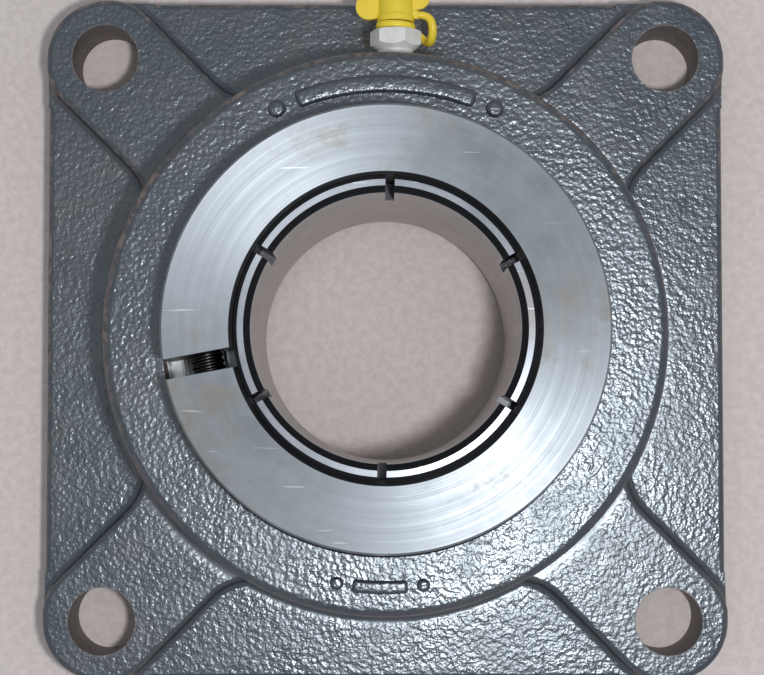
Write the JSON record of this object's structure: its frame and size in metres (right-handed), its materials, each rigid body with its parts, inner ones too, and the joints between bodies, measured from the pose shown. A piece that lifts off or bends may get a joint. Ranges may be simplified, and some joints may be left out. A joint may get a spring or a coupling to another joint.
{
  "type": "flange mount bearing",
  "caption": "Square cast-iron flange with a self-aligning ball bearing insert, slotted inner ring, split clamp collar and capped grease fitting.",
  "frame": {"origin": "centre of the bolt pattern on the mounting face, on the shaft axis", "axes": "+Z along the shaft bore, out of the hub, away from the mounting face; +X and +Y along the sides of the flange, +Y towards the grease fitting"},
  "size_m": [0.173, 0.1752, 0.0687],
  "materials": {
    "casting_paint": "dark grey gloss paint over a sand-cast surface",
    "ring_steel": "ground bearing steel",
    "ball_steel": "polished",
    "cage_steel": "pressed strip steel",
    "rivet_steel": "plain",
    "seal_shell_steel": "zinc plated",
    "seal_rubber": "moulded nitrile rubber",
    "flinger_steel": "zinc plated",
    "pin_steel": "ground",
    "collar_steel": "lathe turned",
    "screw_steel": "black oxide",
    "fitting_steel": "zinc plated",
    "spring_steel": "spring wire",
    "cap_plastic": "moulded yellow polyethylene"
  },
  "bodies": {
    "housing": {"housing": "casting_paint", "grease_fitting_body": "fitting_steel", "cap_tether_ring": "cap_plastic", "cap_strap": "cap_plastic", "grease_spring": "spring_steel"},
    "locking_pin": {"locking_pin": "pin_steel"},
    "outer_ring": {"outer_ring": "ring_steel", "seal_shell_front": "seal_shell_steel", "seal_shell_back": "seal_shell_steel", "seal_lip_front": "seal_rubber", "seal_lip_back": "seal_rubber"},
    "inner_ring": {"inner_ring": "ring_steel", "flinger_front": "flinger_steel", "flinger_back": "flinger_steel"},
    "cage": {"cage_front": "cage_steel", "cage_back": "cage_steel", "cage_rivets": "rivet_steel"},
    "ball_01": {"ball_01": "ball_steel"},
    "ball_02": {"ball_02": "ball_steel"},
    "ball_03": {"ball_03": "ball_steel"},
    "ball_04": {"ball_04": "ball_steel"},
    "ball_05": {"ball_05": "ball_steel"},
    "ball_06": {"ball_06": "ball_steel"},
    "ball_07": {"ball_07": "ball_steel"},
    "ball_08": {"ball_08": "ball_steel"},
    "ball_09": {"ball_09": "ball_steel"},
    "ball_10": {"ball_10": "ball_steel"},
    "collar": {"locking_collar": "collar_steel"},
    "clamp_screw": {"clamp_screw": "screw_steel"},
    "check_ball": {"grease_check_ball": "ball_steel"},
    "dust_cap": {"dust_cap": "cap_plastic"}
  },
  "joints": [
    {"name": "align_x", "type": "hinge", "parent": "housing", "child": "locking_pin", "pos_m": [0, 0, 0.029], "axis": [1, 0, 0], "range_deg": [-2, 2]},
    {"name": "align_y", "type": "hinge", "parent": "locking_pin", "child": "outer_ring", "pos_m": [0, 0, 0.029], "axis": [0, 1, 0], "range_deg": [-2, 2]},
    {"name": "inner_ring_spin", "type": "hinge", "parent": "outer_ring", "child": "inner_ring", "pos_m": [0, 0, 0.029], "axis": [0, 0, 1], "continuous": true},
    {"name": "cage_spin", "type": "hinge", "parent": "outer_ring", "child": "cage", "pos_m": [0, 0, 0.029], "axis": [0, 0, 1], "continuous": true},
    {"name": "ball_01_spin", "type": "hinge", "parent": "cage", "child": "ball_01", "pos_m": [0.0409, 0.01329, 0.029], "axis": [0, 0, 1], "continuous": true},
    {"name": "ball_02_spin", "type": "hinge", "parent": "cage", "child": "ball_02", "pos_m": [0.02527, 0.03479, 0.029], "axis": [0, 0, 1], "continuous": true},
    {"name": "ball_03_spin", "type": "hinge", "parent": "cage", "child": "ball_03", "pos_m": [0, 0.043, 0.029], "axis": [0, 0, 1], "continuous": true},
    {"name": "ball_04_spin", "type": "hinge", "parent": "cage", "child": "ball_04", "pos_m": [-0.02527, 0.03479, 0.029], "axis": [0, 0, 1], "continuous": true},
    {"name": "ball_05_spin", "type": "hinge", "parent": "cage", "child": "ball_05", "pos_m": [-0.0409, 0.01329, 0.029], "axis": [0, 0, 1], "continuous": true},
    {"name": "ball_06_spin", "type": "hinge", "parent": "cage", "child": "ball_06", "pos_m": [-0.0409, -0.01329, 0.029], "axis": [0, 0, 1], "continuous": true},
    {"name": "ball_07_spin", "type": "hinge", "parent": "cage", "child": "ball_07", "pos_m": [-0.02527, -0.03479, 0.029], "axis": [0, 0, 1], "continuous": true},
    {"name": "ball_08_spin", "type": "hinge", "parent": "cage", "child": "ball_08", "pos_m": [0, -0.043, 0.029], "axis": [0, 0, 1], "continuous": true},
    {"name": "ball_09_spin", "type": "hinge", "parent": "cage", "child": "ball_09", "pos_m": [0.02527, -0.03479, 0.029], "axis": [0, 0, 1], "continuous": true},
    {"name": "ball_10_spin", "type": "hinge", "parent": "cage", "child": "ball_10", "pos_m": [0.0409, -0.01329, 0.029], "axis": [0, 0, 1], "continuous": true},
    {"name": "collar_slide", "type": "slide", "parent": "inner_ring", "child": "collar", "axis": [0, 0, 1], "range_m": [0, 0.019]},
    {"name": "clamp_screw_turn", "type": "hinge", "parent": "collar", "child": "clamp_screw", "pos_m": [-0.04127, -0.0078, 0.0589], "axis": [-0.1857, 0.9826, 0], "range_deg": [0, 540]},
    {"name": "check_ball_slide", "type": "slide", "parent": "housing", "child": "check_ball", "axis": [0, -1, 0], "range_m": [0, 0.001], "stiffness_N_per_m": 300, "springref_m": -0.002, "deforming": ["grease_spring"]},
    {"name": "dust_cap_pull", "type": "slide", "parent": "housing", "child": "dust_cap", "axis": [0, 1, 0], "range_m": [0, 0.009], "deforming": ["cap_strap"]}
  ],
  "couplings": [
    {"joint": "cage_spin", "follows": "inner_ring_spin", "ratio": 0.4077},
    {"joint": "ball_01_spin", "follows": "inner_ring_spin", "ratio": -2.6164},
    {"joint": "ball_02_spin", "follows": "inner_ring_spin", "ratio": -2.6164},
    {"joint": "ball_03_spin", "follows": "inner_ring_spin", "ratio": -2.6164},
    {"joint": "ball_04_spin", "follows": "inner_ring_spin", "ratio": -2.6164},
    {"joint": "ball_05_spin", "follows": "inner_ring_spin", "ratio": -2.6164},
    {"joint": "ball_06_spin", "follows": "inner_ring_spin", "ratio": -2.6164},
    {"joint": "ball_07_spin", "follows": "inner_ring_spin", "ratio": -2.6164},
    {"joint": "ball_08_spin", "follows": "inner_ring_spin", "ratio": -2.6164},
    {"joint": "ball_09_spin", "follows": "inner_ring_spin", "ratio": -2.6164},
    {"joint": "ball_10_spin", "follows": "inner_ring_spin", "ratio": -2.6164}
  ]
}
